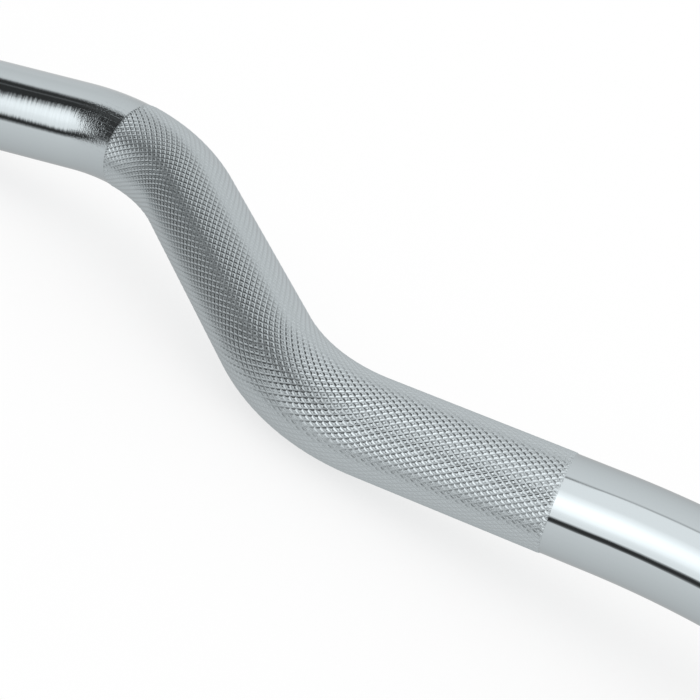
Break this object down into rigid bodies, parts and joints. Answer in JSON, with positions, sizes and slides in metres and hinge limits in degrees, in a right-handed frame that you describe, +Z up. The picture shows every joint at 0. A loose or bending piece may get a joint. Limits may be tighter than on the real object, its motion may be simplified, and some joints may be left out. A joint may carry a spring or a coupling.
{
  "type": "ez curl bar",
  "caption": "Curl bar with a W-bent chrome shaft, knurled angled grips and free-turning plate sleeves with collars, bushings, retaining rings and end caps.",
  "frame": {"origin": "on the floor plane under the middle of the bar, centred in its width as it lies", "axes": "+X along the sleeve axis, +Y away from the low bends, +Z up from the floor the bar lies on"},
  "size_m": [1.2004, 0.0773, 0.064],
  "materials": {
    "chrome_shaft": "polished chrome plate with knurled grip bands",
    "chrome_sleeve": "chrome plate over a turned surface",
    "bronze": "oiled sintered bronze",
    "washer_steel": "plain ground steel",
    "spring_steel": "blackened spring steel",
    "cap_steel": "turned steel disc"
  },
  "bodies": {
    "bar": {"shaft": "chrome_shaft", "left_inner_thrust_washer": "washer_steel", "left_outer_thrust_washer": "washer_steel", "left_wave_washer": "spring_steel", "left_shaft_ring": "spring_steel", "right_inner_thrust_washer": "washer_steel", "right_outer_thrust_washer": "washer_steel", "right_wave_washer": "spring_steel", "right_shaft_ring": "spring_steel"},
    "left_sleeve_body": {"left_sleeve": "chrome_sleeve", "left_collar": "chrome_sleeve", "left_inner_bushing": "bronze", "left_outer_bushing": "bronze", "left_end_cap": "cap_steel", "left_end_cap_ring": "spring_steel"},
    "right_sleeve_body": {"right_sleeve": "chrome_sleeve", "right_collar": "chrome_sleeve", "right_inner_bushing": "bronze", "right_outer_bushing": "bronze", "right_end_cap": "cap_steel", "right_end_cap_ring": "spring_steel"}
  },
  "joints": [
    {"name": "left_sleeve_spin", "type": "hinge", "parent": "bar", "child": "left_sleeve_body", "pos_m": [-0.5, 0.00667, 0.032], "axis": [1, 0, 0], "continuous": true},
    {"name": "right_sleeve_spin", "type": "hinge", "parent": "bar", "child": "right_sleeve_body", "pos_m": [0.5, 0.00667, 0.032], "axis": [1, 0, 0], "continuous": true}
  ]
}
